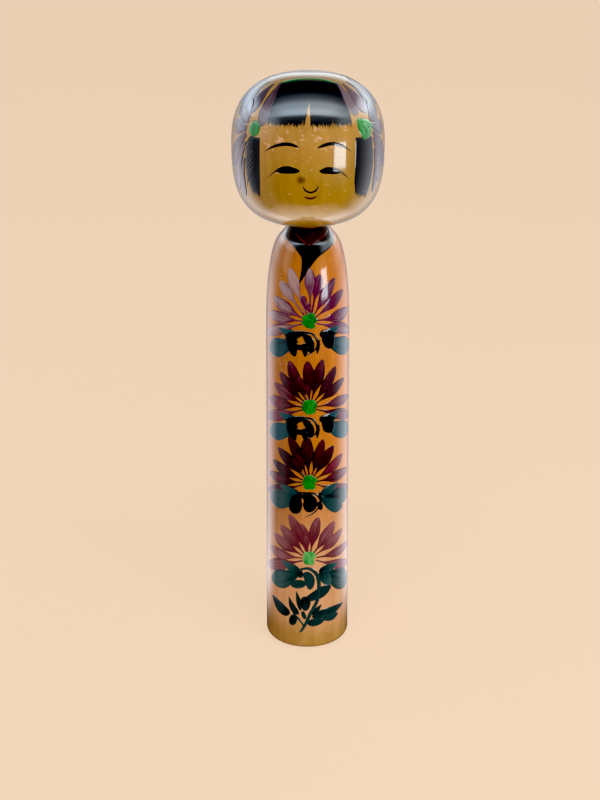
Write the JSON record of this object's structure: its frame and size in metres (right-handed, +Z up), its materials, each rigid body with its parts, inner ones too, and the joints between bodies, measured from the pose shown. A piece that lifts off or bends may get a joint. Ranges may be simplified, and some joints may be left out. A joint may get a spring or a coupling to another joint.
{
  "type": "kokeshi doll",
  "caption": "Turned wooden kokeshi doll: a rounded head with a painted face plugs into a long cylindrical body painted with chrysanthemums, and can be turned about the neck.",
  "frame": {"origin": "centre of the flat foot of the body, on the surface that the doll stands on", "axes": "+Z up along the lathe axis of body and head; the painted face and front look along -Y; +X is to the viewer's right when facing the doll"},
  "size_m": [0.0694, 0.0694, 0.28],
  "materials": {
    "varnished_wood": "clear gloss varnish over ochre-stained pale wood with fine turning lines",
    "black_ink": "black brush ink under gloss varnish",
    "red_dye": "streaky maroon to magenta dye brush strokes under gloss varnish",
    "green_dye": "green dye brush strokes under gloss varnish",
    "teal_dye": "black-green to teal dye brush strokes under gloss varnish"
  },
  "bodies": {
    "body": {"body": "varnished_wood"},
    "head": {"head": "varnished_wood"}
  },
  "joints": [
    {"name": "head_turn", "type": "hinge", "parent": "body", "child": "head", "pos_m": [0, 0, 0.21185], "axis": [0, 0, 1], "continuous": true}
  ]
}
